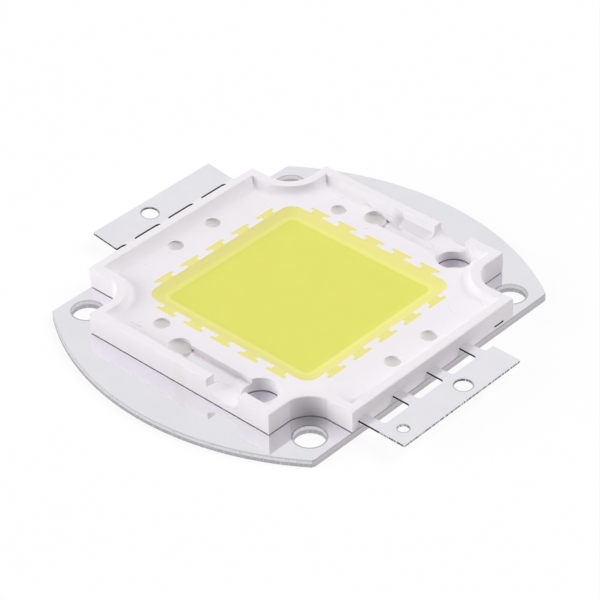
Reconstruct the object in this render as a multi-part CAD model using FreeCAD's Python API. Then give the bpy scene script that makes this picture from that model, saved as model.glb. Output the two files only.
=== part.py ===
"""Square high power light-emitting chip on a stamped metal plate.

X runs along the two leads, Y across them and Z up. The origin is the centre of the plate's
underside. All lengths are millimetres.
"""
import FreeCAD, Part
import math
import os

V = FreeCAD.Vector
ORIGIN = V(0, 0, 0)
UP = V(0, 0, 1)

# Window of the moulding, and the band of moulding on each side of it; together they give
# the outline that the plate's straight sides share
window_width = 24.9
window_length = 24.2
window_corner_radius = 1.7
band_x = 7.55
band_y = 7.5
ledge_width = 0.8
cavity_corner_radius = 0.6

# Base plate
plate_thickness = 1.0
plate_bulge = 6.5
plate_corner_radius = 0.8
plate_edge_break = 0.1
bolt_inset_x = 3.0
bolt_inset_y = 2.7
bolt_hole_diameter = 3.6

# Heights of the moulding, stacked up from the plate
lead_standoff = 0.92
lead_thickness = 0.25
cover_thickness = 0.62
rim_rise = 0.97
foot_gap_height = 0.1
foot_gap_depth = 0.35

# Corners of the moulding, cut away round the screws: the inner arc is struck a little
# wider than the straight walls stand off
screw_head_room = 3.4
notch_arc_step = 0.05

# Rim of the moulding: width of its top, and how far its inner side leans
rim_width_x = 1.1
rim_width_y = 1.2
rim_width_notch = 1.15
rim_lean_x = 0.8
rim_lean_y = 0.6
rim_lean_notch = 0.5
rim_edge_break = 0.08

# T-shaped keys round the window, filled by the gel
key_count = 5
key_corner_gap = 3.7
key_reach = 1.0
key_head_length = 2.85
key_head_width = 0.4
key_shoulder = 0.12
key_neck_root = 1.6
key_neck_end = 1.8
key_depth = 0.35

# Gel surface: the flat middle lies below the edge, inside a sloped border
gel_slope_width = 1.45
gel_flat_drop = 0.6

# Large round hole on each side of the window; its place is the starting point of the slot,
# the small hole, the rim gap and the dimple beside it
large_hole_notch_gap = 4.4
large_hole_window_gap = 4.1
large_hole_diameter = 4.3

# Slot that runs from the small hole to the large one; distances back are from the large
# hole's centre
slot_window_gap = 3.3
slot_width = 1.95
slot_slope_back = 10.7
small_hole_back = 12.1
small_hole_window_gap = 4.2
small_hole_diameter = 2.7

# Scooped gap in the rim, beside the slot
bay_left_back = 4.8
bay_low_back = 1.9
bay_right_back = 0.15
bay_left_height = 1.8
bay_low_height = 0.85
bay_right_height = 1.1
bay_sag = 0.02

# Dimples left by the pins that held the leads in the mould
dimple_diameter = 1.95
side_dimple_window_gap = 4.1
side_dimple_y = 3.05
arm_dimple_back = 16.4
arm_dimple_window_gap = 2.6

# Leads outside the moulding
leg_count = 4
leg_width = 1.4
leg_pitch = 5.57
leg_notch_gap = 1.0
leg_length = 2.5
tab_depth = 3.9
tab_overrun = 1.29
tab_corner_radius = 0.15
tab_root_radius = 0.45
solder_hole_diameter = 2.1
solder_hole_y = 0.57
solder_hole_inset = 1.9
small_solder_hole_diameter = 1.3
small_solder_hole_y = 10.4
small_solder_hole_inset = 1.95
bent_leg_lift = -0.55
bent_tab_lift = -0.07

# Leads inside the moulding
bar_wall_cover = 1.1
arm_window_gap = 0.4
arm_hole_gap = 0.45
arm_notch_cover = 1.0
pad_hole_gap = 0.05
pad_edge_gap = 0.05
pad_end_back = 3.7
pad_corner_radius = 0.5
dimple_pad_margin = 0.35
stub_y = 11.1
stub_width = 1.6
stub_recess = 0.3
stub_drop = 0.5

# Dies and bond wires
die_count = 10
row_count = 10
die_size = 1.14
die_thickness = 0.15
die_margin_x = 1.63
die_margin_y = 1.28
wire_thickness = 0.05
wire_inset = 0.2
wire_rise = 0.3
wire_shoulder = 0.25
wire_lead_clearance = 0.1
wire_landing = 0.35

# Sizes that follow from the ones above
window_half_x = window_width / 2
window_half_y = window_length / 2
half_x = window_half_x + band_x
half_y = window_half_y + band_y
plate_top = plate_thickness
lead_bottom = plate_top + lead_standoff
lead_top = lead_bottom + lead_thickness
floor_z = lead_top + cover_thickness
rim_top = floor_z + rim_rise
bolt_x = half_x - bolt_inset_x
bolt_y = half_y - bolt_inset_y
tab_in = half_x + leg_length
tab_out = tab_in + tab_depth
leg_first_edge = bolt_y - screw_head_room - leg_notch_gap
key_pitch = (min(window_half_x, window_half_y) - key_corner_gap) * 2 / (key_count - 1)
cavity_half_x = window_half_x - ledge_width
cavity_half_y = window_half_y - ledge_width
large_hole_x = bolt_x - screw_head_room - large_hole_notch_gap
large_hole_y = window_half_y + large_hole_window_gap
large_hole_radius = large_hole_diameter / 2
slot_inner_y = window_half_y + slot_window_gap
slot_outer_y = slot_inner_y + slot_width
small_hole_x = large_hole_x - small_hole_back
small_hole_y = window_half_y + small_hole_window_gap
small_hole_radius = small_hole_diameter / 2
bay_left_x = large_hole_x - bay_left_back
bay_right_x = large_hole_x - bay_right_back
pad_right_x = large_hole_x - pad_end_back
stub_bottom = lead_bottom - stub_drop
stub_top = stub_bottom + lead_thickness
dimple_radius = dimple_diameter / 2
side_dimple_x = window_half_x + side_dimple_window_gap
arm_dimple_x = large_hole_x - arm_dimple_back
arm_dimple_y = window_half_y + arm_dimple_window_gap
overcut = 1.0


def box(x0, x1, y0, y1, z0, z1):
    """Box between two opposite corners, given in any order."""
    low = V(min(x0, x1), min(y0, y1), min(z0, z1))
    return Part.makeBox(abs(x1 - x0), abs(y1 - y0), abs(z1 - z0), low)


def post(x, y, radius, z0, z1):
    """Upright round post."""
    return Part.makeCylinder(radius, z1 - z0, V(x, y, z0))


def prism(wire, height):
    """Solid that stands on a closed wire."""
    return Part.Face(wire).extrude(V(0, 0, height))


def plan_polygon(points, z):
    """Closed wire through plan points at one height."""
    corners = [V(x, y, z) for x, y in points]
    return Part.makePolygon(corners + corners[:1])


def mirrored_in_y(shape):
    """The same shape on the other side of the X axis."""
    return shape.mirror(ORIGIN, V(0, 1, 0))


def both_sides(shape):
    """A shape and its mirror image across the X axis."""
    return [shape, mirrored_in_y(shape)]


def upright_edges(shape, wanted):
    """Upright straight edges whose plan place passes the test wanted(x, y)."""
    found = []
    for edge in shape.Edges:
        ends = [vertex.Point for vertex in edge.Vertexes]
        if len(ends) != 2:
            continue
        run = ends[1] - ends[0]
        if math.hypot(run.x, run.y) < 1e-6 and wanted(ends[0].x, ends[0].y):
            found.append(edge)
    return found


def edges_at_height(shape, z):
    """Edges that lie level at height z."""
    return [edge for edge in shape.Edges if abs(edge.BoundBox.ZMin - z) + abs(edge.BoundBox.ZMax - z) < 1e-6]


def notched_wire(shrink_x, shrink_y, stand_off, z):
    """Outline of the moulding at height z, its straight sides moved in by shrink_x and shrink_y
    and its corner cuts moved away from the screws by stand_off."""
    reach_x = half_x - shrink_x
    reach_y = half_y - shrink_y
    wall = screw_head_room + stand_off
    radius = wall + notch_arc_step
    meet = math.sqrt(radius ** 2 - wall ** 2)
    slant = radius * math.cos(math.radians(45))
    edges = []
    start = None
    end = None
    for sx, sy in ((1, 1), (-1, 1), (-1, -1), (1, -1)):
        path = [
            V(sx * reach_x, sy * (bolt_y - wall), z),
            V(sx * (bolt_x - meet), sy * (bolt_y - wall), z),
            V(sx * (bolt_x - slant), sy * (bolt_y - slant), z),
            V(sx * (bolt_x - wall), sy * (bolt_y - meet), z),
            V(sx * (bolt_x - wall), sy * reach_y, z),
        ]
        if sx != sy:
            path.reverse()
        if end is None:
            start = path[0]
        else:
            edges.append(Part.makeLine(end, path[0]))
        edges.append(Part.makeLine(path[0], path[1]))
        edges.append(Part.Arc(path[1], path[2], path[3]).toShape())
        edges.append(Part.makeLine(path[3], path[4]))
        end = path[4]
    edges.append(Part.makeLine(end, start))
    return Part.Wire(edges)


def rounded_wire(reach_x, reach_y, radius, z):
    """Rectangle with four rounded corners."""
    bow = radius * (1 - math.cos(math.radians(45)))
    edges = []
    start = None
    end = None
    for sx, sy in ((1, 1), (-1, 1), (-1, -1), (1, -1)):
        path = [
            V(sx * reach_x, sy * (reach_y - radius), z),
            V(sx * (reach_x - bow), sy * (reach_y - bow), z),
            V(sx * (reach_x - radius), sy * reach_y, z),
        ]
        if sx != sy:
            path.reverse()
        if end is None:
            start = path[0]
        else:
            edges.append(Part.makeLine(end, path[0]))
        edges.append(Part.Arc(path[0], path[1], path[2]).toShape())
        end = path[2]
    edges.append(Part.makeLine(end, start))
    return Part.Wire(edges)


def corner_places(x, y):
    """The four places that mirror each other across both axes."""
    return [(sx * x, sy * y) for sx in (-1, 1) for sy in (-1, 1)]


def make_base_plate():
    """Stamped plate: two straight sides, two bowed sides, four screw holes and broken edges."""
    apex = half_y + plate_bulge
    outline = Part.Wire([
        Part.makeLine(V(half_x, -half_y, 0), V(half_x, half_y, 0)),
        Part.Arc(V(half_x, half_y, 0), V(0, apex, 0), V(-half_x, half_y, 0)).toShape(),
        Part.makeLine(V(-half_x, half_y, 0), V(-half_x, -half_y, 0)),
        Part.Arc(V(-half_x, -half_y, 0), V(0, -apex, 0), V(half_x, -half_y, 0)).toShape(),
    ])
    plate = prism(outline, plate_thickness)
    corners = upright_edges(plate, lambda x, y: True)
    plate = plate.makeFillet(plate_corner_radius, corners)
    rims = edges_at_height(plate, 0) + edges_at_height(plate, plate_thickness)
    plate = plate.makeChamfer(plate_edge_break, rims)
    holes = []
    for x, y in corner_places(bolt_x, bolt_y):
        holes.append(post(x, y, bolt_hole_diameter / 2, -overcut, plate_thickness + overcut))
    return plate.cut(holes)


def key_shapes(z0, z1):
    """The T-shaped keys round the window, with their necks running in under the window's edge."""
    half_root = key_neck_root / 2
    half_end = key_neck_end / 2
    half_head = key_head_length / 2
    shoulder = key_reach - key_head_width
    profile = [
        (-key_reach, half_root), (shoulder - key_shoulder, half_end), (shoulder, half_head),
        (key_reach, half_head), (key_reach, -half_head), (shoulder, -half_head),
        (shoulder - key_shoulder, -half_end), (-key_reach, -half_root),
    ]
    keys = []
    for index in range(key_count):
        along = (index - (key_count - 1) / 2) * key_pitch
        for side in (-1, 1):
            on_x = [(side * (window_half_x + out), along + wide) for out, wide in profile]
            on_y = [(along + wide, side * (window_half_y + out)) for out, wide in profile]
            keys.append(prism(plan_polygon(on_x, z0), z1 - z0))
            keys.append(prism(plan_polygon(on_y, z0), z1 - z0))
    return keys


def rim_pocket():
    """Space inside the rim, above the floor, with leaning sides."""
    low = notched_wire(rim_width_x + rim_lean_x, rim_width_y + rim_lean_y,
                       rim_width_notch + rim_lean_notch, floor_z)
    high = notched_wire(rim_width_x, rim_width_y, rim_width_notch, rim_top)
    return Part.makeLoft([low, high], True, True)


def slot_cut():
    """Slot down to the leads on the +Y side, running into the large round hole."""
    return box(small_hole_x, large_hole_x, slot_inner_y, slot_outer_y, lead_top, rim_top + overcut)


def slot_slope_cut():
    """Clears the rim's upright inner wall behind the slot, and the slope below it down to the slot."""
    x = large_hole_x - slot_slope_back
    high = rim_top + overcut
    corners = [V(x, slot_outer_y, lead_top), V(x, half_y - rim_width_y, floor_z),
               V(x, half_y - rim_width_y, high), V(x, slot_outer_y, high)]
    face = Part.Face(Part.makePolygon(corners + corners[:1]))
    return face.extrude(V(bay_left_x - x, 0, 0))


def bay_profile(y, left, low, right):
    """Upright outline of the rim gap at one y, with a hollow lower edge."""
    top = rim_top + overcut
    corners = [V(bay_left_x, y, plate_top + left), V(large_hole_x - bay_low_back, y, plate_top + low),
               V(bay_right_x, y, plate_top + right)]
    return Part.Wire([
        Part.Arc(corners[0], corners[1], corners[2]).toShape(),
        Part.makeLine(corners[2], V(bay_right_x, y, top)),
        Part.makeLine(V(bay_right_x, y, top), V(bay_left_x, y, top)),
        Part.makeLine(V(bay_left_x, y, top), corners[0]),
    ])


def bay_cut():
    """Gap in the rim on the +Y side: its floor starts at the slot's level and sags towards the outside."""
    lead_level = lead_standoff + lead_thickness
    inside = bay_profile(slot_outer_y, lead_level, lead_level - bay_sag, lead_level)
    outside = bay_profile(half_y, bay_left_height, bay_low_height, bay_right_height)
    beyond = bay_profile(half_y + overcut, bay_left_height, bay_low_height, bay_right_height)
    return Part.makeLoft([inside, outside, beyond], True, True)


def dimple_places():
    """Plan places of the six dimples."""
    return corner_places(side_dimple_x, side_dimple_y) + [(arm_dimple_x, arm_dimple_y),
                                                          (arm_dimple_x, -arm_dimple_y)]


def foot_gap():
    """Low groove round the foot of the moulding, open to the outside."""
    around = box(-half_x - overcut, half_x + overcut, -half_y - overcut, half_y + overcut,
                 plate_top, plate_top + foot_gap_height)
    foot = prism(notched_wire(foot_gap_depth, foot_gap_depth, foot_gap_depth, plate_top), foot_gap_height)
    return around.cut(foot)


def stub_slot(side):
    """Small slot in the end wall, where the lead frame's tie bar was cut off."""
    y = side * stub_y
    return box(side * (half_x - stub_recess), side * (half_x + overcut),
               y - stub_width / 2, y + stub_width / 2, stub_bottom, stub_top)


def make_housing(leads):
    """White moulding round the window, with the leads moulded in."""
    shoulder = rim_top - rim_edge_break
    wide = notched_wire(0, 0, 0, shoulder)
    narrow = notched_wire(rim_edge_break, rim_edge_break, rim_edge_break, rim_top)
    housing = prism(notched_wire(0, 0, 0, plate_top), shoulder - plate_top)
    housing = housing.fuse(Part.makeLoft([wide, narrow], True, True))
    high = rim_top + overcut
    tools = [rim_pocket(), foot_gap()]
    tools.append(prism(rounded_wire(window_half_x, window_half_y, window_corner_radius, lead_top),
                       high - lead_top))
    tools.append(prism(rounded_wire(cavity_half_x, cavity_half_y, cavity_corner_radius, plate_top - overcut),
                       high - plate_top + overcut))
    tools += both_sides(slot_cut())
    tools += both_sides(slot_slope_cut())
    tools += both_sides(bay_cut())
    tools += both_sides(post(small_hole_x, small_hole_y, small_hole_radius, plate_top - overcut, high))
    tools += both_sides(post(large_hole_x, large_hole_y, large_hole_radius, plate_top - overcut, high))
    tools += both_sides(post(large_hole_x, large_hole_y, large_hole_radius + foot_gap_depth,
                             plate_top - overcut, plate_top + foot_gap_height))
    for x, y in dimple_places():
        tools.append(post(x, y, dimple_radius, lead_top, high))
    tools += [stub_slot(1), stub_slot(-1)]
    tools += key_shapes(floor_z - key_depth, floor_z + overcut)
    housing = housing.cut(tools)
    housing = housing.cut(leads)
    return housing.removeSplitter()


def lead_outside(side, leg_lift, tab_lift, holes):
    """Legs and solder tab beyond the moulding's wall, bent by the lifts (below zero is down)."""
    low = plate_top
    high = rim_top + tab_lift
    far_edge = -leg_first_edge + (leg_count - 1) * leg_pitch + leg_width + tab_overrun
    plan = box(tab_in, tab_out, -leg_first_edge, far_edge, low, high)
    for index in range(leg_count):
        edge = -leg_first_edge + index * leg_pitch
        plan = plan.fuse(box(half_x - bar_wall_cover, tab_in, edge, edge + leg_width, low, high))
    plan = plan.removeSplitter()
    roots = upright_edges(plan, lambda x, y: abs(x - tab_in) < 1e-6 and abs(y + leg_first_edge) > 1e-6
                          and abs(y - far_edge) > 1e-6)
    plan = plan.makeFillet(tab_root_radius, roots)
    corners = upright_edges(plan, lambda x, y: abs(x - tab_out) < 1e-6)
    plan = plan.makeFillet(tab_corner_radius, corners)
    for x, y, radius in holes:
        plan = plan.cut(post(x, y, radius, low - overcut, high + overcut))
    wide = leg_first_edge + overcut
    steps = [(half_x - bar_wall_cover, 0), (half_x, 0), (tab_in, leg_lift), (tab_out, tab_lift)]
    upper = [V(x, -wide, lead_top + lift) for x, lift in steps]
    lower = [V(x, -wide, lead_bottom + lift) for x, lift in reversed(steps)]
    side_face = Part.Face(Part.makePolygon(upper + lower + upper[:1]))
    strip = side_face.extrude(V(0, 2 * wide, 0))
    lead = plan.common(strip)
    if side < 0:
        lead.rotate(ORIGIN, UP, 180)
    return lead


def lead_inside(side):
    """Bar beside the window, and the arm that runs to the slot and the dimple on this lead's side."""
    def block(x0, x1, y0, y1):
        return box(x0, x1, -side * y0, -side * y1, lead_bottom, lead_top)

    arm_in = window_half_y + arm_window_gap
    arm_out = large_hole_y - large_hole_radius - arm_hole_gap
    arm_far_x = arm_dimple_x - dimple_radius - dimple_pad_margin
    bar_end = max(leg_first_edge, arm_in)
    bar = block(side * cavity_half_x, side * (half_x - bar_wall_cover), -bar_end, bar_end)
    arm_end_x = bolt_x - screw_head_room - arm_notch_cover
    if side > 0:
        arm = block(arm_far_x, arm_end_x, arm_in - overcut, arm_out)
    else:
        arm = block(-arm_end_x, pad_right_x, arm_in - overcut, arm_out)
    gap = block(-cavity_half_x, cavity_half_x, 0, arm_in)
    arm = arm.cut(gap)
    pad_left_x = small_hole_x + small_hole_radius + pad_hole_gap
    pad = block(pad_left_x, pad_right_x, arm_in, slot_outer_y - pad_edge_gap)
    pad_corner = upright_edges(pad, lambda x, y: abs(x - pad_right_x) < 1e-6 and abs(y) > arm_out)
    pad = pad.makeFillet(pad_corner_radius, pad_corner)
    dimple_pad = block(arm_far_x, arm_dimple_x + dimple_radius + dimple_pad_margin, arm_in,
                       arm_dimple_y + dimple_radius + dimple_pad_margin)
    bar_out = half_x - bar_wall_cover
    stub_low_y = side * stub_y - stub_width / 2
    stub_high_y = side * stub_y + stub_width / 2
    stub_in = bar_out - lead_thickness
    stub_web = box(side * stub_in, side * bar_out, stub_low_y, stub_high_y, stub_bottom, lead_bottom)
    stub = box(side * stub_in, side * (half_x - stub_recess), stub_low_y, stub_high_y, stub_bottom, stub_top)
    return bar.multiFuse([arm, pad, dimple_pad, stub_web, stub])


def make_lead(side, leg_lift, tab_lift, holes):
    """One whole lead, inside and outside the moulding."""
    lead = lead_inside(side).fuse(lead_outside(side, leg_lift, tab_lift, holes))
    return lead.removeSplitter()


def die_places():
    """Plan places of the dies, row by row."""
    pitch_x = (2 * (cavity_half_x - die_margin_x) - die_size) / (die_count - 1)
    pitch_y = (2 * (cavity_half_y - die_margin_y) - die_size) / (row_count - 1)
    rows = []
    for row in range(row_count):
        y = (row - (row_count - 1) / 2) * pitch_y
        rows.append([((index - (die_count - 1) / 2) * pitch_x, y) for index in range(die_count)])
    return rows


def make_die(x, y):
    """One die, flat on the plate."""
    half = die_size / 2
    return box(x - half, x + half, y - half, y + half, plate_top, plate_top + die_thickness)


def make_wire(points, y):
    """Thin wire bent through (x, z) points, with feet cut level so that they sit on what they join."""
    half = wire_thickness / 2
    left = []
    right = []
    for index, (x, z) in enumerate(points):
        before = points[max(index - 1, 0)]
        after = points[min(index + 1, len(points) - 1)]
        angle = math.atan2(z - before[1], x - before[0])
        next_angle = math.atan2(after[1] - z, after[0] - x)
        if index == 0:
            offset = (-half / math.sin(next_angle), 0.0)
        elif index == len(points) - 1:
            offset = (-half / math.sin(angle), 0.0)
        else:
            middle = (angle + next_angle) / 2
            reach = half / math.cos((next_angle - angle) / 2)
            offset = (-math.sin(middle) * reach, math.cos(middle) * reach)
        left.append(V(x + offset[0], y - half, z + offset[1]))
        right.append(V(x - offset[0], y - half, z - offset[1]))
    outline = left + right[::-1]
    face = Part.Face(Part.makePolygon(outline + outline[:1]))
    return face.extrude(V(0, wire_thickness, 0))


def row_wires(places):
    """Wires of one row: from the negative lead, die to die, to the positive lead."""
    die_top = plate_top + die_thickness
    reach = die_size / 2 - wire_inset
    y = places[0][1]
    wires = []
    for here, there in zip(places, places[1:]):
        start = here[0] + reach
        end = there[0] - reach
        middle = (start + end) / 2
        wires.append(make_wire([(start, die_top), (middle, die_top + wire_rise), (end, die_top)], y))
    edge = cavity_half_x
    foot = places[-1][0] + reach
    for side in (-1, 1):
        path = [(foot, die_top), (foot + wire_shoulder, die_top + wire_rise),
                (edge, lead_top + wire_lead_clearance), (edge + wire_landing, lead_top)]
        if side < 0:
            path = [(-x, z) for x, z in reversed(path)]
        wires.append(make_wire(path, y))
    return wires


def make_gel(buried):
    """Gel that fills the cavity, the window and the keys, with a dished top."""
    cavity = prism(rounded_wire(cavity_half_x, cavity_half_y, cavity_corner_radius, plate_top),
                   lead_top - plate_top)
    window = prism(rounded_wire(window_half_x, window_half_y, window_corner_radius, lead_top),
                   floor_z - lead_top)
    gel = window.multiFuse([cavity] + key_shapes(floor_z - key_depth, floor_z))
    bottom = floor_z - gel_flat_drop
    low = rounded_wire(window_half_x - gel_slope_width, window_half_y - gel_slope_width,
                       window_corner_radius - gel_slope_width, bottom)
    high = rounded_wire(window_half_x, window_half_y, window_corner_radius, floor_z)
    dish = Part.makeLoft([low, high], True, True)
    gel = gel.cut(dish)
    gel = gel.removeSplitter()
    return gel.cut(buried)


def save(name, shape):
    """Write one node."""
    shape.exportStep(os.path.join("parts", name + ".step"))


def main():
    os.makedirs("parts", exist_ok=True)
    solder_hole = (tab_out - solder_hole_inset, -solder_hole_y, solder_hole_diameter / 2)
    small_hole = (tab_out - small_solder_hole_inset, -small_solder_hole_y, small_solder_hole_diameter / 2)
    positive = make_lead(1, 0, 0, [solder_hole, small_hole])
    negative = make_lead(-1, bent_leg_lift, bent_tab_lift, [solder_hole])
    save("base_plate", make_base_plate())
    save("positive_lead", positive)
    save("negative_lead", negative)
    save("housing_frame", make_housing([positive, negative]))
    buried = []
    for number, places in enumerate(die_places(), start=1):
        dies = [make_die(x, y) for x, y in places]
        wires = row_wires(places)
        save("die_row_%02d" % number, Part.makeCompound(dies))
        save("bond_wires_%02d" % number, Part.makeCompound(wires))
        buried += dies + wires
    save("phosphor_gel", make_gel(buried))


main()
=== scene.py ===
import math

import bmesh
import bpy
import numpy as np
from mathutils import Matrix, Vector


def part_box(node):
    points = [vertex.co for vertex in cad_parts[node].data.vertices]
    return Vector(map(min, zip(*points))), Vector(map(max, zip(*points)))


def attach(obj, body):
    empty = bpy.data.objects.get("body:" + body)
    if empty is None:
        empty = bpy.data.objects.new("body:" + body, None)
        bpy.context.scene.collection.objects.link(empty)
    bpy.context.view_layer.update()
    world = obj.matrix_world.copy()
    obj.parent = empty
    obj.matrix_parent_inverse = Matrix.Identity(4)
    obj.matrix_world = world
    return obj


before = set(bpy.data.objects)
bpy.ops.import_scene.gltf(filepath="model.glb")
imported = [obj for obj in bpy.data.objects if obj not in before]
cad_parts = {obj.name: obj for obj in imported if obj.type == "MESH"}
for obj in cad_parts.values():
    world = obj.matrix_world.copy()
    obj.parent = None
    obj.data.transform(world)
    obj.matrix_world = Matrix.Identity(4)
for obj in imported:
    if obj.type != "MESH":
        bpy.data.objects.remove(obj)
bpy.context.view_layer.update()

MM = 0.001

# Camera, measured on the photograph's 600 pixel frame
FRAME_PIXELS = 600
FOCAL_PIXELS = 2634.58
SENSOR_WIDTH = 36.0
CAMERA_AZIMUTH = math.radians(43.283)
CAMERA_ELEVATION = math.radians(36.501)
CAMERA_ROLL = math.radians(-1.273)
CAMERA_DISTANCE = 298.197 * MM
AIM_SHIFT = (0.0577 * MM, 0.2482 * MM)

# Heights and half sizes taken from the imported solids
FRAME_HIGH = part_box("housing_frame")[1]
OUTLINE = (FRAME_HIGH.x, FRAME_HIGH.y)
RIM_TOP = FRAME_HIGH.z
PLATE_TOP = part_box("base_plate")[1].z
FLOOR_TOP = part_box("phosphor_gel")[1].z
SLOT_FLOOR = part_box("positive_lead")[1].z

# Window, and the gel in it: half sizes, corners, width and depth of its sloped border
WINDOW = (12.45 * MM, 12.1 * MM)
WINDOW_RADIUS = 1.7 * MM
GEL_SLOPE = 1.45 * MM
GEL_DROP = 0.6 * MM
GEL_FLAT = (11.0 * MM, 10.65 * MM)
CREASE_WIDTH = 0.75 * MM
CREASE_RADIUS = 1.1 * MM
DIE_PITCH = 2.1 * MM

# Holes of the plate and of the leads' tabs: x, y and radius
SCREW = (17.0 * MM, 16.9 * MM)
SCREW_HOLE = 1.8 * MM
SOLDER_HOLE = (24.5 * MM, -0.57 * MM, 1.05 * MM)
POLARITY_HOLE = (24.45 * MM, -10.4 * MM, 0.65 * MM)
PLATE_HOLES = [(x, y, SCREW_HOLE) for x in (-SCREW[0], SCREW[0]) for y in (-SCREW[1], SCREW[1])]
LEAD_HOLES = [SOLDER_HOLE, (-SOLDER_HOLE[0], -SOLDER_HOLE[1], SOLDER_HOLE[2]), POLARITY_HOLE]

# Marks of the mould: ejector rings in the four corners of the floor, gate scar on the -Y wall
EJECTOR_PLACE = (16.1 * MM, 10.0 * MM)
EJECTOR_RADIUS = 1.9 * MM
GATE_SCAR_X = 0.3 * MM
GATE_SCAR_WIDTH = 1.4 * MM

# Slot in the wall where the lead's stub was cut off; the moulding inside it is painted near black as shade
STUB_Y = 11.1 * MM
STUB_WIDTH = 1.6 * MM
STUB_REACH = 0.6 * MM
STUB_SLACK = 0.02 * MM

# Steps that keep a new piece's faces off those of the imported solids: at its edges, and where it is hidden
EDGE_STEP = 0.004 * MM
SINK = 0.02 * MM

# Bends of a new piece that are sharper than this are shaded as edges
SHARP_ANGLE = math.radians(35.0)


class Graph:
    """Short calls that add nodes to one shader tree and join them."""

    def __init__(self, tree):
        self.tree = tree

    def add(self, kind, inputs=None, **settings):
        """New node; settings are its properties, inputs its sockets' values or links."""
        made = self.tree.nodes.new(kind)
        for name, value in settings.items():
            setattr(made, name, value)
        for name, value in (inputs or {}).items():
            self.feed(made, name, value)
        return made

    def feed(self, made, name, value):
        """Joins a socket to another node's output, or sets its value."""
        socket = made.inputs[name]
        if isinstance(value, bpy.types.NodeSocket):
            self.tree.links.new(value, socket)
        elif isinstance(value, bpy.types.Node):
            self.tree.links.new(value.outputs[0], socket)
        else:
            socket.default_value = value

    def math(self, operation, first, second=0.0, third=0.0):
        """One Math node."""
        inputs = {0: first, 1: second}
        if operation in ("MULTIPLY_ADD", "COMPARE"):
            inputs[2] = third
        return self.add("ShaderNodeMath", inputs, operation=operation).outputs[0]

    def axes(self, vector):
        """The three parts of a vector."""
        return self.add("ShaderNodeSeparateXYZ", {"Vector": vector}).outputs

    def reach(self, first, second):
        """Root of the sum of two squares."""
        squares = self.math("ADD", self.math("MULTIPLY", first, first), self.math("MULTIPLY", second, second))
        return self.math("SQRT", squares)

    def ramp(self, value, low, high, low_out=0.0, high_out=1.0):
        """Maps low..high smoothly to low_out..high_out, held at both ends."""
        inputs = {"Value": value, "From Min": low, "From Max": high, "To Min": low_out, "To Max": high_out}
        made = self.add("ShaderNodeMapRange", inputs, interpolation_type="SMOOTHSTEP", clamp=True)
        return made.outputs[0]

    def mix(self, factor, first, second):
        """Mixes two colours."""
        made = self.add("ShaderNodeMix", data_type="RGBA", blend_type="MIX")
        for index, value in ((0, factor), (6, first), (7, second)):
            self.feed(made, index, value)
        return made.outputs[2]

    def noise(self, place, scale, detail=3.0, roughness=0.5):
        """Noise value at a place, scale in features per metre."""
        inputs = {"Vector": place, "Scale": scale, "Detail": detail, "Roughness": roughness}
        return self.add("ShaderNodeTexNoise", inputs).outputs[0]


def new_group(name, inputs, outputs):
    """Empty shader node group with float inputs, or vector ones where no value is given, and float
    outputs, together with its source and sink."""
    group = bpy.data.node_groups.new(name, "ShaderNodeTree")
    for label, value in inputs:
        if value is None:
            group.interface.new_socket(label, in_out="INPUT", socket_type="NodeSocketVector")
        else:
            made = group.interface.new_socket(label, in_out="INPUT", socket_type="NodeSocketFloat")
            made.default_value = value
    for label in outputs:
        group.interface.new_socket(label, in_out="OUTPUT", socket_type="NodeSocketFloat")
    g = Graph(group)
    return group, g, g.add("NodeGroupInput").outputs, g.add("NodeGroupOutput")


def grain_group():
    """Fine grain: two sizes of noise, put out as a tone and as a height between 0 and 1."""
    group, g, source, sink = new_group("Fine grain", [("Place", None), ("Size", 1.0)], ["Tone", "Height"])
    fine_scale = g.math("DIVIDE", 1.0 / (0.09 * MM), source["Size"])
    wide_scale = g.math("DIVIDE", 1.0 / (1.4 * MM), source["Size"])
    fine = g.noise(source["Place"], fine_scale, 2.0)
    wide = g.noise(source["Place"], wide_scale, 4.0, 0.6)
    g.feed(sink, "Tone", wide)
    g.feed(sink, "Height", g.math("MULTIPLY_ADD", fine, 0.6, g.math("MULTIPLY", wide, 0.4)))
    return group


def scratch_group():
    """Fine straight scratches: noise stretched along a turned axis, thin bright crests kept,
    and broken up by a wider noise."""
    inputs = [("Place", None), ("Turn", 0.0), ("Amount", 0.5)]
    group, g, source, sink = new_group("Fine scratches", inputs, ["Mask"])
    turned = g.add("ShaderNodeVectorRotate", {"Vector": source["Place"], "Angle": source["Turn"]},
                   rotation_type="Z_AXIS")
    features_per_metre = (60.0, 2600.0, 400.0)
    stretched = g.add("ShaderNodeVectorMath", {0: turned, 1: features_per_metre}, operation="MULTIPLY")
    lines = g.noise(stretched.outputs[0], 1.0, 1.0, 0.4)
    broken = g.noise(source["Place"], 1.0 / (5.0 * MM), 2.0)
    kept = g.math("MULTIPLY", g.ramp(lines, 0.64, 0.72), g.ramp(broken, 0.5, 0.62))
    g.feed(sink, "Mask", g.math("MULTIPLY", kept, source["Amount"]))
    return group


def speck_group():
    """Scattered small specks: the middles of random cells, only a few of them kept."""
    inputs = [("Place", None), ("Spacing", 3.0 * MM), ("Radius", 0.08), ("Share", 0.3)]
    group, g, source, sink = new_group("Specks", inputs, ["Mask"])
    scale = g.math("DIVIDE", 1.0, source["Spacing"])
    cells = g.add("ShaderNodeTexVoronoi", {"Vector": source["Place"], "Scale": scale}, feature="F1")
    near = g.math("LESS_THAN", cells.outputs["Distance"], source["Radius"])
    draw = g.add("ShaderNodeSeparateColor", {"Color": cells.outputs["Color"]}).outputs[0]
    g.feed(sink, "Mask", g.math("MULTIPLY", near, g.math("LESS_THAN", draw, source["Share"])))
    return group


GRAIN = grain_group()
SCRATCH = scratch_group()
SPECKS = speck_group()


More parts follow.
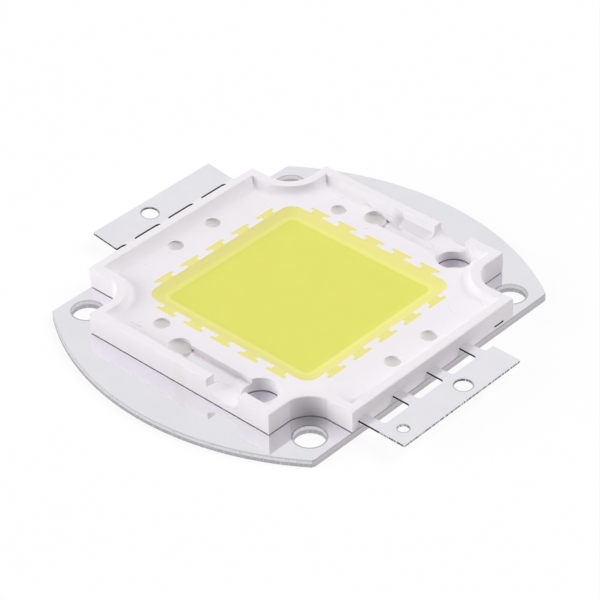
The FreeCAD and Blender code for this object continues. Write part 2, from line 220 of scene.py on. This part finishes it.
def new_material(name):
    """Material with its graph, its Principled shader and the Object coordinates."""
    made = bpy.data.materials.new(name)
    made.use_nodes = True
    g = Graph(made.node_tree)
    shader = made.node_tree.nodes["Principled BSDF"]
    place = g.add("ShaderNodeTexCoord").outputs["Object"]
    return made, g, shader, place


def use_group(g, group, inputs):
    """Places a node group in a material and gives its outputs."""
    made = g.add("ShaderNodeGroup", node_tree=group)
    for name, value in inputs.items():
        g.feed(made, name, value)
    return made.outputs


def finish_bump(g, shader, height, distance):
    """Feeds a height, in units of distance, to the shader's normal."""
    bump = g.add("ShaderNodeBump", {"Height": height, "Distance": distance, "Strength": 1.0})
    g.feed(shader, "Normal", bump)


def slot_shade_mask(g, axes):
    """Painted shade: 1 on the moulding's faces inside the slot of the cut stub, which lies at STUB_Y on the
    +X wall and half a turn away on the -X wall; these faces are painted near black."""
    turned_y = g.math("MULTIPLY", axes[1], g.math("SIGN", axes[0]))
    middle = OUTLINE[0] - STUB_REACH
    deep = g.math("COMPARE", g.math("ABSOLUTE", axes[0]), middle, STUB_REACH - STUB_SLACK)
    along = g.math("COMPARE", turned_y, STUB_Y, STUB_WIDTH / 2 + STUB_SLACK)
    under = g.math("LESS_THAN", axes[2], SLOT_FLOOR + STUB_SLACK)
    return g.math("MULTIPLY", g.math("MULTIPLY", deep, along), under)


def scar_mask(g, axes):
    """Upright band with soft edges on the -Y wall, where the mould was filled."""
    beside = g.math("ABSOLUTE", g.math("SUBTRACT", axes[0], GATE_SCAR_X))
    band = g.ramp(beside, 0.62 * GATE_SCAR_WIDTH, 0.38 * GATE_SCAR_WIDTH)
    on_wall = g.ramp(axes[1], 0.05 * MM - OUTLINE[1], 0.01 * MM - OUTLINE[1])
    return g.math("MULTIPLY", band, on_wall)


def ejector_mark(g, axes):
    """Sunk discs with a deeper ring round them, in the four corners of the frame's floor."""
    beside = g.math("SUBTRACT", g.math("ABSOLUTE", axes[0]), EJECTOR_PLACE[0])
    along = g.math("SUBTRACT", g.math("ABSOLUTE", axes[1]), EJECTOR_PLACE[1])
    away = g.reach(beside, along)
    ring = g.ramp(g.math("ABSOLUTE", g.math("SUBTRACT", away, EJECTOR_RADIUS)), 0.13 * MM, 0.02 * MM)
    disc = g.ramp(away, EJECTOR_RADIUS + 0.05 * MM, EJECTOR_RADIUS - 0.05 * MM)
    mark = g.math("MULTIPLY_ADD", ring, 0.4, g.math("MULTIPLY", disc, 0.3))
    on_floor = g.ramp(axes[2], FLOOR_TOP - 0.3 * MM, FLOOR_TOP - 0.1 * MM)
    return g.math("MULTIPLY", mark, on_floor)


def moulding_material():
    """White moulding: satin grain, faint flow clouds, a few dark specks, a yellowish gate scar,
    ejector marks, and painted shade, near black, on its faces in the slot where the stub was cut off."""
    made, g, shader, place = new_material("white moulding")
    axes = g.axes(place)
    grain = use_group(g, GRAIN, {"Place": place, "Size": 1.0})
    specks = use_group(g, SPECKS, {"Place": place, "Spacing": 2.6 * MM, "Radius": 0.035, "Share": 0.16})
    flow = g.noise(place, 1.0 / (9.0 * MM), 3.0, 0.55)
    white = (0.885, 0.848, 0.888, 1.0)
    warm = (0.877, 0.845, 0.870, 1.0)
    speck_dark = (0.35, 0.31, 0.32, 1.0)
    painted_slot_shade = (0.05, 0.042, 0.04, 1.0)
    scar_beige = (0.83, 0.775, 0.70, 1.0)
    tint = g.mix(g.ramp(flow, 0.35, 0.65), white, warm)
    tint = g.mix(g.math("MULTIPLY", specks["Mask"], 0.55), tint, speck_dark)
    # Painted shade: the moulding's faces in the stub's slot are near black
    tint = g.mix(slot_shade_mask(g, axes), tint, painted_slot_shade)
    tint = g.mix(g.math("MULTIPLY", scar_mask(g, axes), 0.32), tint, scar_beige)
    g.feed(shader, "Base Color", tint)
    g.feed(shader, "Roughness", g.ramp(grain["Tone"], 0.3, 0.7, 0.42, 0.54))
    shader.inputs["Specular IOR Level"].default_value = 0.4
    sunk = g.math("MULTIPLY", ejector_mark(g, axes), -1.0)
    finish_bump(g, shader, g.math("MULTIPLY_ADD", grain["Height"], 0.12, sunk), 0.05 * MM)
    return made


def mottled_material(name, grain_size, dark, light, roughness, pit_depth, metallic=0.0):
    """Plain finish whose colour goes from dark to light, and its roughness between two values, with
    the grain's tone."""
    made, g, shader, place = new_material(name)
    grain = use_group(g, GRAIN, {"Place": place, "Size": grain_size})
    g.feed(shader, "Base Color", g.mix(grain["Tone"], dark, light))
    g.feed(shader, "Roughness", g.ramp(grain["Tone"], 0.3, 0.7, roughness[0], roughness[1]))
    shader.inputs["Metallic"].default_value = metallic
    finish_bump(g, shader, grain["Height"], pit_depth)
    return made


def outside_holes(g, axes, holes):
    """Plan distance from the nearest of some upright holes' edges; holes are (x, y, radius)."""
    nearest = None
    for x, y, radius in holes:
        away = g.reach(g.math("SUBTRACT", axes[0], x), g.math("SUBTRACT", axes[1], y))
        away = g.math("SUBTRACT", away, radius)
        nearest = away if nearest is None else g.math("MINIMUM", nearest, away)
    return nearest


def sheared_colour(g, place, axes, tear_height, painted_shade_within, dark_streaks, painted_shade_past):
    """Colour of a sheared side: bright above tear_height and torn below it, with upright streaks, painted
    shade (near black) nearer the middle than painted_shade_within, dark streaks, and a darker painted shade
    past painted_shade_past."""
    bright = (0.88, 0.865, 0.90, 1.0)
    torn = (0.56, 0.545, 0.575, 1.0)
    streak = (0.74, 0.725, 0.755, 1.0)
    dark = (0.07, 0.065, 0.07, 1.0)
    painted_side_shade = (0.62, 0.585, 0.62, 1.0)
    streak_width = 0.16 * MM
    streak_stretch = (1.0, 1.0, 0.12)
    tear_edge = 0.06 * MM
    upright = g.add("ShaderNodeVectorMath", {0: place, 1: streak_stretch}, operation="MULTIPLY")
    streaks = g.noise(upright.outputs[0], 1.0 / streak_width, 3.0, 0.6)
    tint = g.mix(g.ramp(axes[2], tear_height + tear_edge, tear_height - tear_edge), bright, torn)
    tint = g.mix(g.ramp(streaks, 0.45, 0.75), tint, streak)
    beside = g.math("ABSOLUTE", axes[0])
    dark_streaked = g.math("MULTIPLY", g.ramp(streaks, 0.42, 0.52), dark_streaks)
    # Painted shade: near black on the sides nearer the middle than painted_shade_within; dark streaks on top
    # of it
    tint = g.mix(g.math("MAXIMUM", g.math("LESS_THAN", beside, painted_shade_within), dark_streaked), tint, dark)
    # Painted shade: an even, darker tone on the sides past painted_shade_past
    return g.mix(g.math("MULTIPLY", g.math("GREATER_THAN", beside, painted_shade_past), 0.85), tint, painted_side_shade)


def metal_material(name, bright, shade, roughness, scratch_turn, tear_height, holes, lip, pit_depth,
                   painted_shade_within=0.0, dark_streaks=0.0, painted_shade_past=1.0):
    """Bright plated metal: clouds in colour and gloss, fine scratches, tiny pits, sheared sides, and a dark
    painted reflection on the drawn-in lip round each punched hole, with a faint ring outside it."""
    made, g, shader, place = new_material(name)
    axes = g.axes(place)
    grain = use_group(g, GRAIN, {"Place": place, "Size": 1.3})
    clouds = g.noise(place, 1.0 / (6.0 * MM), 4.0, 0.6)
    crossing_angle = 1.1
    scratches = use_group(g, SCRATCH, {"Place": place, "Turn": scratch_turn, "Amount": 0.6})
    crossing = use_group(g, SCRATCH, {"Place": place, "Turn": scratch_turn + crossing_angle, "Amount": 0.35})
    lines = g.math("MAXIMUM", scratches["Mask"], crossing["Mask"])
    normal = g.axes(g.add("ShaderNodeNewGeometry").outputs["Normal"])
    side = g.ramp(g.math("ABSOLUTE", normal[2]), 0.99, 0.8)
    sheared = sheared_colour(g, place, axes, tear_height, painted_shade_within, dark_streaks, painted_shade_past)
    from_hole = outside_holes(g, axes, holes)
    # Painted reflection: a dark band on the lip round each hole, where it would mirror dark surroundings
    painted_lip_reflection = (0.34, 0.33, 0.35, 1.0)
    tint = g.mix(g.ramp(clouds, 0.35, 0.7), bright, shade)
    tint = g.mix(g.math("MULTIPLY", g.ramp(from_hole, lip, 0.4 * lip), 0.6), tint, painted_lip_reflection)
    g.feed(shader, "Base Color", g.mix(side, tint, sheared))
    dullness = g.ramp(clouds, 0.3, 0.7, roughness[0], roughness[1])
    dullness = g.math("MULTIPLY_ADD", side, 0.6, dullness)
    g.feed(shader, "Roughness", g.math("MULTIPLY_ADD", lines, 0.12, dullness))
    shader.inputs["Metallic"].default_value = 1.0
    ring_middle = 3.5 * lip
    ring_reach = 1.6 * lip
    ring_depth = 0.004 * MM
    ring = g.ramp(g.math("ABSOLUTE", g.math("SUBTRACT", from_hole, ring_middle)), ring_reach, 0.0)
    pits = g.math("MULTIPLY_ADD", lines, -0.5, grain["Height"])
    height = g.math("MULTIPLY_ADD", pits, pit_depth, g.math("MULTIPLY", ring, -ring_depth))
    finish_bump(g, shader, height, 1.0)
    return made


def past_flat(g, axes):
    """Plan distance outside the gel's flat middle, a rectangle with rounded corners; below 0 inside."""
    past_x = g.math("SUBTRACT", g.math("ABSOLUTE", axes[0]), GEL_FLAT[0] - CREASE_RADIUS)
    past_y = g.math("SUBTRACT", g.math("ABSOLUTE", axes[1]), GEL_FLAT[1] - CREASE_RADIUS)
    corner = g.reach(g.math("MAXIMUM", past_x, 0.0), g.math("MAXIMUM", past_y, 0.0))
    within = g.math("MINIMUM", g.math("MAXIMUM", past_x, past_y), 0.0)
    return g.math("SUBTRACT", g.math("ADD", corner, within), CREASE_RADIUS)


def gel_material():
    """Yellow gel: flat middle, a lighter band of painted highlight where it starts to rise, an olive slope
    above it, a faint quilt over the dies and a few dark specks."""
    made, g, shader, place = new_material("phosphor gel")
    axes = g.axes(place)
    out = past_flat(g, axes)
    slope = g.ramp(out, -0.1 * MM, 0.5 * MM)
    # Painted highlight: a lighter band along the crease round the flat
    crease = g.ramp(g.math("ABSOLUTE", out), 0.15 * MM, 0.6 * CREASE_WIDTH, 0.8, 0.0)
    clouds = g.noise(place, 1.0 / (2.5 * MM), 5.0, 0.6)
    fine = g.noise(place, 1.0 / (0.12 * MM), 2.0)
    specks = use_group(g, SPECKS, {"Place": place, "Spacing": 3.1 * MM, "Radius": 0.04, "Share": 0.12})
    waves = [g.math("COSINE", g.math("MULTIPLY", axis, 2 * math.pi / DIE_PITCH)) for axis in axes[:2]]
    quilt = g.math("MULTIPLY", waves[0], waves[1])
    flat = (0.775, 0.772, 0.146, 1.0)
    deep = (0.763, 0.762, 0.140, 1.0)
    quilted = (0.76, 0.765, 0.134, 1.0)
    speck_dark = (0.42, 0.38, 0.08, 1.0)
    olive = (0.84, 0.79, 0.265, 1.0)
    painted_crease_highlight = (0.875, 0.85, 0.258, 1.0)
    tint = g.mix(g.ramp(clouds, 0.35, 0.7), flat, deep)
    tint = g.mix(g.ramp(quilt, 0.0, 1.0, 0.0, 0.2), tint, quilted)
    tint = g.mix(g.math("MULTIPLY", specks["Mask"], 0.6), tint, speck_dark)
    tint = g.mix(slope, tint, olive)
    g.feed(shader, "Base Color", g.mix(crease, tint, painted_crease_highlight))
    g.feed(shader, "Roughness", g.ramp(clouds, 0.3, 0.7, 0.3, 0.42))
    shader.inputs["Specular IOR Level"].default_value = 0.35
    height = g.math("MULTIPLY_ADD", fine, 0.3, clouds)
    finish_bump(g, shader, g.math("MULTIPLY_ADD", quilt, -0.5, height), 0.006 * MM)
    return made


# The plate's sheared sides past 19.8 mm get an even painted shade
PLATE_METAL = metal_material(
    "nickel plate", bright=(0.925, 0.912, 0.955, 1.0), shade=(0.90, 0.888, 0.93, 1.0), roughness=(0.05, 0.09),
    scratch_turn=0.3, tear_height=0.55 * MM, holes=PLATE_HOLES, lip=0.25 * MM, pit_depth=0.001 * MM,
    painted_shade_past=19.8 * MM)
# The leads' sheared sides nearer the middle than 22.9 mm are painted near black as shade
LEAD_METAL = metal_material(
    "lead metal", bright=(0.95, 0.935, 0.975, 1.0), shade=(0.92, 0.905, 0.945, 1.0), roughness=(0.16, 0.24),
    scratch_turn=1.2, tear_height=1.95 * MM, holes=LEAD_HOLES, lip=0.17 * MM, pit_depth=0.0005 * MM,
    painted_shade_within=22.9 * MM, dark_streaks=0.8)
MOULDING = moulding_material()
# Bottoms left by the mould's pins: warmer and duller than the moulding round them, and darkened as painted
# shade
SHADED_PIN_END = mottled_material(
    "pin mark", grain_size=0.8, dark=(0.70, 0.67, 0.655, 1.0), light=(0.76, 0.73, 0.715, 1.0),
    roughness=(0.5, 0.62), pit_depth=0.005 * MM)
GEL = gel_material()
DIE = mottled_material(
    "die surface", grain_size=0.3, dark=(0.30, 0.34, 0.55, 1.0), light=(0.48, 0.52, 0.7, 1.0),
    roughness=(0.12, 0.25), pit_depth=0.001 * MM)
WIRE = mottled_material(
    "gold wire", grain_size=0.4, dark=(0.86, 0.62, 0.24, 1.0), light=(0.95, 0.75, 0.36, 1.0),
    roughness=(0.18, 0.3), pit_depth=0.0008 * MM, metallic=1.0)


def finish_for(name):
    """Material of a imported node, by its name."""
    if name == "base_plate":
        return PLATE_METAL
    if name == "housing_frame":
        return MOULDING
    if name == "phosphor_gel":
        return GEL
    if name.endswith("_lead"):
        return LEAD_METAL
    return DIE if name.startswith("die_row") else WIRE


for node_name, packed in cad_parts.items():
    packed.data.materials.clear()
    packed.data.materials.append(finish_for(node_name))


def grid_piece(name, points, material, around=False, along=False):
    """Mesh from an array of points, rows by columns by 3; around joins the last column to the
    first, along the last row to the first. Open rows are closed by a face at each end."""
    rows, columns = points.shape[:2]
    index = np.arange(rows * columns).reshape(rows, columns)
    if around:
        index = np.concatenate([index, index[:, :1]], axis=1)
    if along:
        index = np.concatenate([index, index[:1]], axis=0)
    quads = np.stack([index[:-1, :-1], index[1:, :-1], index[1:, 1:], index[:-1, 1:]], axis=-1).reshape(-1, 4)
    faces = [tuple(quad) for quad in quads.tolist()]
    if around and not along:
        faces.append(tuple(index[0, :-1].tolist()))
        faces.append(tuple(index[-1, :-1][::-1].tolist()))
    mesh = bpy.data.meshes.new(name)
    mesh.from_pydata(points.reshape(-1, 3).tolist(), [], faces)
    turned = bmesh.new()
    turned.from_mesh(mesh)
    bmesh.ops.recalc_face_normals(turned, faces=turned.faces)
    turned.to_mesh(mesh)
    turned.free()
    mesh.shade_smooth()
    mesh.set_sharp_from_angle(angle=SHARP_ANGLE)
    mesh.materials.append(material)
    made = bpy.data.objects.new(name, mesh)
    bpy.context.scene.collection.objects.link(made)
    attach(made, "root")
    return made


def spread(start, end, count):
    """Evenly spaced points from start up to, but not with, end."""
    share = np.arange(count)[:, None] / count
    return np.asarray(start) * (1 - share) + np.asarray(end) * share


def level(path, height):
    """A plan path at one height, given as an array of points in space."""
    return np.hstack([path, np.full((len(path), 1), height)])


# The rim: room round the screws, widths at its top and foot (on X, on Y, round the screws), the small
# break of its top edge, and its hollow bead, which breaks off on the +Y and -Y sides. The bead's hidden
# corner lies BEAD_CORNER behind and under the crease.
SCREW_ROOM = 3.4 * MM
ARC_STEP = 0.05 * MM
RIM_TOP_WIDTH = np.array([1.1, 1.2, 1.15]) * MM
RIM_FOOT_WIDTH = np.array([1.9, 1.8, 1.65]) * MM
RIM_RISE = RIM_TOP - FLOOR_TOP
RIM_EDGE_BREAK = 0.08 * MM
BEAD_BREAK_X = (-4.4 * MM, 11.4 * MM)
BEAD_RISE = 0.62 * MM
BEAD_RUN = 0.56 * MM
BEAD_TAPER = 1.6 * MM
BEAD_CORNER = (0.06 * MM, 0.05 * MM)


def rim_path(side, shrink, line_count=24, arc_count=18):
    """Half of the outline, moved in by shrink (x, y, at the screws): from the +Y side at the bead's
    break round the end at side to the -Y side. Straight runs and the arcs round the screws."""
    reach_x = OUTLINE[0] - shrink[0]
    reach_y = OUTLINE[1] - shrink[1]
    wall = SCREW_ROOM + shrink[2]
    radius = wall + ARC_STEP
    start_x = BEAD_BREAK_X[1] if side > 0 else -BEAD_BREAK_X[0]
    first = math.acos(wall / radius)
    turn = np.linspace(first, math.pi / 2 - first, arc_count)[:, None]
    arc = np.hstack([SCREW[0] - radius * np.cos(turn), SCREW[1] - radius * np.sin(turn)])
    corner_x = SCREW[0] - wall
    corner_y = SCREW[1] - wall
    quarter = np.vstack([
        spread((start_x, reach_y), (corner_x, reach_y), line_count),
        spread((corner_x, reach_y), arc[0], line_count // 2),
        arc[:-1],
        spread(arc[-1], (reach_x, corner_y), line_count // 2),
        spread((reach_x, corner_y), (reach_x, 0.0), line_count),
        np.array([[reach_x, 0.0]]),
    ])
    whole = np.vstack([quarter, quarter[-2::-1] * (1, -1)])
    return whole * (side, 1)


def rim_fillet(name, side):
    """Hollow bead in the crease between floor and rim. Across it, a quadratic curve starts level on
    the floor, has its control point in the crease and ends on the rim's lean; a corner sunk under
    the crease closes it. The curve is carried round the outline and thins out at both ends."""
    lean = (RIM_FOOT_WIDTH - RIM_TOP_WIDTH) / RIM_RISE
    rows = []
    for step in np.linspace(0.0, 1.0, 9):
        shrink = RIM_FOOT_WIDTH + BEAD_RUN * (1 - step) ** 2 - lean * BEAD_RISE * step ** 2
        rows.append(level(rim_path(side, shrink), BEAD_RISE * step ** 2 + EDGE_STEP))
    rows.append(level(rim_path(side, RIM_FOOT_WIDTH - BEAD_CORNER[0]), -BEAD_CORNER[1]))
    points = np.array(rows).transpose(1, 0, 2)
    run = np.abs(points[:, -1, 0] - points[0, -1, 0]) + 2 * (points[0, -1, 1] - np.abs(points[:, -1, 1]))
    share = np.clip(run / BEAD_TAPER, 0.02, 1.0)[:, None, None]
    points = points[:, -1:, :] * (1 - share) + points * share
    points[:, :, 2] += FLOOR_TOP
    # The right half's columns run the other way, so that both halves are wound alike
    return grid_piece(name, points[:, ::-side], MOULDING, around=True)


def rounded_path(reach_x, reach_y, radius, line_count=20, arc_count=10):
    """Closed rectangle with rounded corners, anticlockwise from the +Y end of its +X side."""
    corners = []
    for turn, (sx, sy) in enumerate(((1, 1), (-1, 1), (-1, -1), (1, -1))):
        middle = np.array([sx * (reach_x - radius), sy * (reach_y - radius)])
        angle = np.linspace(turn * math.pi / 2, (turn + 1) * math.pi / 2, arc_count)[:, None]
        corners.append(middle + radius * np.hstack([np.cos(angle), np.sin(angle)]))
    pieces = []
    for turn in range(4):
        pieces.append(corners[turn])
        pieces.append(spread(corners[turn][-1], corners[(turn + 1) % 4][0], line_count)[1:])
    return np.vstack(pieces)


def gel_meniscus():
    """Soft crease between the gel's flat and its sloped border: a quadratic curve from the flat,
    with its control point in the crease, to a share of the way up the slope, carried round the
    window and closed under the crease."""
    run = 1.1 * MM
    share_up = 0.62
    corner_depth = 0.05 * MM
    rows = []
    for step in np.linspace(0.0, 1.0, 9):
        inset = GEL_SLOPE + run * (1 - step) ** 2 - share_up * GEL_SLOPE * step ** 2
        radius = max(WINDOW_RADIUS - inset, CREASE_RADIUS)
        path = rounded_path(WINDOW[0] - inset, WINDOW[1] - inset, radius)
        rows.append(level(path, -GEL_DROP + share_up * GEL_DROP * step ** 2 + EDGE_STEP))
    under = rounded_path(WINDOW[0] - GEL_SLOPE, WINDOW[1] - GEL_SLOPE, CREASE_RADIUS)
    rows.append(level(under, -GEL_DROP - corner_depth))
    points = np.array(rows).transpose(1, 0, 2)
    points[:, :, 2] += FLOOR_TOP
    return grid_piece("gel_meniscus", points[:, ::-1], GEL, around=True, along=True)


def raised_bar(name, centre, turn):
    """Low bar with a rounded back: half ellipse across, its ends closed by the same ellipse, which
    narrows as the root of 1 - along ** 6."""
    half_length = 0.9 * MM
    half_width = 0.11 * MM
    rise = 0.07 * MM
    across = np.linspace(0.0, math.pi, 9)
    along = np.linspace(-1.0, 1.0, 13)
    taper = np.sqrt(np.clip(1 - along ** 6, 0.0, 1.0))[:, None] + 1e-3
    wide = half_width * np.cos(across)[None, :] * taper
    high = rise * np.sin(across)[None, :] * taper - EDGE_STEP
    length = half_length * along[:, None] + 0 * wide
    x = centre[0] + length * math.cos(turn) - wide * math.sin(turn)
    y = centre[1] + length * math.sin(turn) + wide * math.cos(turn)
    points = np.stack([x, y, FLOOR_TOP + high], axis=-1)
    return grid_piece(name, points, MOULDING, around=True)


# Slots beside the window: their outer edge, and where the slope behind them starts and is whole
SLOT_OUTER_Y = WINDOW[1] + 5.25 * MM
SLOPE_START_X = -1.5 * MM
SLOPE_BLEND = 1.5 * MM


def bent_line(first, second, third):
    """Seven points on each of two straight runs that meet at the second point, which is kept once."""
    share = np.linspace(0.0, 1.0, 7)[:, None]
    first, second, third = (np.array(corner) for corner in (first, second, third))
    return np.vstack([first * (1 - share) + second * share, (second * (1 - share) + third * share)[1:]])


def slot_blend(name, way):
    """Lets the slope behind a slot begin softly. Across it lies one line from the slot's edge over the
    foot to the top of the rim's inner side; along it the line goes from the whole rim's section (share
    1) to the cut one (share 0) by share = 1 - 3 t ** 2 + 2 t ** 3. Way -1 mirrors it to the -Y side."""
    wall = OUTLINE[1] - RIM_TOP_WIDTH[1]
    foot = OUTLINE[1] - RIM_FOOT_WIDTH[1]
    high = RIM_TOP - RIM_EDGE_BREAK
    behind = wall + 0.2 * MM
    low = SLOT_FLOOR - 0.1 * MM
    whole = bent_line((SLOT_OUTER_Y, FLOOR_TOP), (foot, FLOOR_TOP), (wall, high))
    cut = bent_line(
        (SLOT_OUTER_Y, SLOT_FLOOR - SINK), (wall + SINK, FLOOR_TOP - SINK), (wall + SINK, high - SINK))
    hidden = np.array([(behind, high - SINK), (behind, low), (SLOT_OUTER_Y, low)])
    t = np.linspace(0.0, 1.0, 13)
    share = (1 - 3 * t ** 2 + 2 * t ** 3)[:, None, None]
    line = whole[None] * share + cut[None] * (1 - share)
    section = np.concatenate([line, np.broadcast_to(hidden, (len(t),) + hidden.shape)], axis=1)
    x = np.broadcast_to((SLOPE_START_X + SLOPE_BLEND * t)[:, None, None], section.shape[:2] + (1,))
    points = np.concatenate([x, section], axis=2) * (1, way, 1)
    return grid_piece(name, points, MOULDING, around=True)


def pin_bowl(name, place, radius, depth):
    """Shallow bowl in a round hole: a paraboloid, height = sag * (r / radius) ** 2 over its lowest
    point at depth under the floor, closed by a flat underside and seated in the hole's wall."""
    sag = 0.34 * MM
    thickness = 0.12 * MM
    reach = np.concatenate([np.linspace(0.01, 1.0, 8), [1.0, 0.01]]) * radius
    height = -depth + sag * (reach / radius) ** 2
    height[-2:] = -depth - thickness
    angle = np.linspace(0.0, 2 * math.pi, 32, endpoint=False)
    x = place[0] + reach[:, None] * np.cos(angle)
    y = place[1] + reach[:, None] * np.sin(angle)
    z = np.broadcast_to(FLOOR_TOP + height[:, None], x.shape)
    return grid_piece(name, np.stack([x, y, z], axis=-1), SHADED_PIN_END, around=True)


# Holes left by the mould's pins: place, radius and depth of the bowl at the bottom
SIDE_DIMPLE = (16.55 * MM, 3.05 * MM)
ARM_DIMPLE = (-7.2 * MM, 14.7 * MM)
SLOT_HOLE = (-2.9 * MM, 16.3 * MM)
DIMPLE_BOWL = (0.977 * MM, 0.55 * MM)
SLOT_HOLE_BOWL = (1.352 * MM, 0.75 * MM)
DIMPLES = [(sx * SIDE_DIMPLE[0], sy * SIDE_DIMPLE[1]) for sx in (1, -1) for sy in (1, -1)]
DIMPLES += [(ARM_DIMPLE[0], sy * ARM_DIMPLE[1]) for sy in (1, -1)]

# Polarity marks on the floor's edges
MINUS_MARK = (-9.1 * MM, 16.9 * MM)
PLUS_MARK = (-9.3 * MM, -16.7 * MM)

slot_blend("slot_blend_back", 1)
slot_blend("slot_blend_front", -1)
for number, dimple in enumerate(DIMPLES, 1):
    pin_bowl("dimple_bowl_%d" % number, dimple, *DIMPLE_BOWL)
pin_bowl("slot_hole_bowl_back", SLOT_HOLE, *SLOT_HOLE_BOWL)
pin_bowl("slot_hole_bowl_front", (SLOT_HOLE[0], -SLOT_HOLE[1]), *SLOT_HOLE_BOWL)
rim_fillet("rim_fillet_right", 1)
rim_fillet("rim_fillet_left", -1)
gel_meniscus()
raised_bar("minus_mark", MINUS_MARK, 0.0)
raised_bar("plus_mark_long", PLUS_MARK, 0.0)
raised_bar("plus_mark_cross", PLUS_MARK, math.pi / 2)


# Studio: tones of the floor and the surround, as they light the object and as they are seen
WHITE = (1.0, 1.0, 1.0, 1.0)
BLACK = (0.0, 0.0, 0.0, 1.0)
FLOOR_SIZE = 4.0
FLOOR_BOUNCE = (0.88, 0.88, 0.88, 1.0)
FLOOR_SEEN = (0.95, 0.95, 0.95, 1.0)
FLOOR_GLOW = 0.9
SKY_FILL = (0.34, 0.336, 0.346, 1.0)
SEEN_CEILING = (0.84, 0.84, 0.84, 1.0)

# Heights of a ray's direction between which the white surround turns into the greyer ceiling
CEILING_RISE = (0.1, 0.45)

# A dark flag stands low in front of the object: cosines at its edge and where it is whole, and its
# depth in mirrors
FLAG_DIRECTION = (0.66, -0.70, 0.27)
FLAG_EDGE = (0.25, 0.85)
FLAG_SEEN = 0.5


def seen_rays(g):
    """1 for camera, mirror and glass rays, 0 for the rays that light the object."""
    path = g.add("ShaderNodeLightPath").outputs
    mirror = g.math("MAXIMUM", path["Is Glossy Ray"], path["Is Transmission Ray"])
    return g.math("MAXIMUM", path["Is Camera Ray"], mirror)


def make_floor():
    """Pale floor: mostly plain white to the camera, so that only soft shadows stay on it."""
    half = FLOOR_SIZE / 2
    mesh = bpy.data.meshes.new("floor")
    corners = [(-half, -half, 0), (half, -half, 0), (half, half, 0), (-half, half, 0)]
    mesh.from_pydata(corners, [], [(0, 1, 2, 3)])
    floor = bpy.data.objects.new("floor", mesh)
    bpy.context.scene.collection.objects.link(floor)
    made = bpy.data.materials.new("floor")
    made.use_nodes = True
    made.node_tree.nodes.clear()
    g = Graph(made.node_tree)
    seen = seen_rays(g)
    matte = g.add("ShaderNodeBsdfDiffuse", {"Color": g.mix(seen, FLOOR_BOUNCE, FLOOR_SEEN)})
    glow = g.add("ShaderNodeEmission", {"Color": WHITE, "Strength": 1.0})
    blend = g.add("ShaderNodeMixShader", {0: g.math("MULTIPLY", seen, FLOOR_GLOW), 1: matte, 2: glow})
    g.add("ShaderNodeOutputMaterial", {"Surface": blend})
    mesh.materials.append(made)


def make_world():
    """Studio surround: white where it is seen, greyer overhead, and a soft fill where it lights. The
    flag darkens it for every ray but the camera's own."""
    world = bpy.data.worlds.new("studio")
    world.use_nodes = True
    world.node_tree.nodes.clear()
    g = Graph(world.node_tree)
    seen = seen_rays(g)
    direction = g.add("ShaderNodeTexCoord").outputs["Generated"]
    overhead = g.ramp(g.axes(direction)[2], *CEILING_RISE)
    tint = g.mix(seen, SKY_FILL, g.mix(overhead, WHITE, SEEN_CEILING))
    facing = g.add("ShaderNodeVectorMath", {0: direction, 1: FLAG_DIRECTION}, operation="DOT_PRODUCT")
    flag = g.ramp(facing.outputs["Value"], *FLAG_EDGE)
    camera_ray = g.add("ShaderNodeLightPath").outputs["Is Camera Ray"]
    flag = g.math("MULTIPLY", flag, g.math("SUBTRACT", 1.0, camera_ray))
    flag = g.math("MULTIPLY", flag, g.math("MULTIPLY_ADD", seen, FLAG_SEEN - 1.0, 1.0))
    tint = g.mix(flag, tint, BLACK)
    glow = g.add("ShaderNodeBackground", {"Color": tint, "Strength": 1.0})
    g.add("ShaderNodeOutputWorld", {"Surface": glow})
    bpy.context.scene.world = world


def pointing(azimuth, elevation):
    """Unit vector; azimuth 0 points to -Y, a quarter turn to +X."""
    level_part = math.cos(elevation)
    return Vector((math.sin(azimuth) * level_part, -math.cos(azimuth) * level_part, math.sin(elevation)))


def make_lamp(name, azimuth, elevation, power, angle):
    """Distant soft lamp that the metal doesn't mirror; angles in degrees."""
    lamp = bpy.data.lights.new(name, "SUN")
    lamp.energy = power
    lamp.angle = math.radians(angle)
    made = bpy.data.objects.new(name, lamp)
    made.visible_glossy = False
    towards = pointing(math.radians(azimuth), math.radians(elevation))
    made.rotation_euler = towards.to_track_quat("Z", "Y").to_euler()
    bpy.context.scene.collection.objects.link(made)


def make_camera():
    """Camera at the photograph's measured place, with its slight roll."""
    back = pointing(CAMERA_AZIMUTH, CAMERA_ELEVATION)
    across = Vector((math.cos(CAMERA_AZIMUTH), math.sin(CAMERA_AZIMUTH), 0.0))
    upright = back.cross(across)
    right = math.cos(CAMERA_ROLL) * across + math.sin(CAMERA_ROLL) * upright
    up = -math.sin(CAMERA_ROLL) * across + math.cos(CAMERA_ROLL) * upright
    place = back * CAMERA_DISTANCE + right * AIM_SHIFT[0] + up * AIM_SHIFT[1] + Vector((0, 0, PLATE_TOP))
    lens = bpy.data.cameras.new("camera")
    lens.sensor_width = SENSOR_WIDTH
    lens.lens = FOCAL_PIXELS / FRAME_PIXELS * SENSOR_WIDTH
    lens.clip_start = 0.01
    camera = bpy.data.objects.new("camera", lens)
    turn = Matrix((right, up, back)).transposed().to_4x4()
    camera.matrix_world = Matrix.Translation(place) @ turn
    bpy.context.scene.collection.objects.link(camera)
    bpy.context.scene.camera = camera


make_floor()
make_world()
make_lamp("key", azimuth=-36.0, elevation=17.0, power=2.65, angle=45.0)
make_lamp("back", azimuth=142.0, elevation=50.0, power=2.05, angle=45.0)
make_camera()
bpy.context.scene.view_settings.view_transform = "Standard"
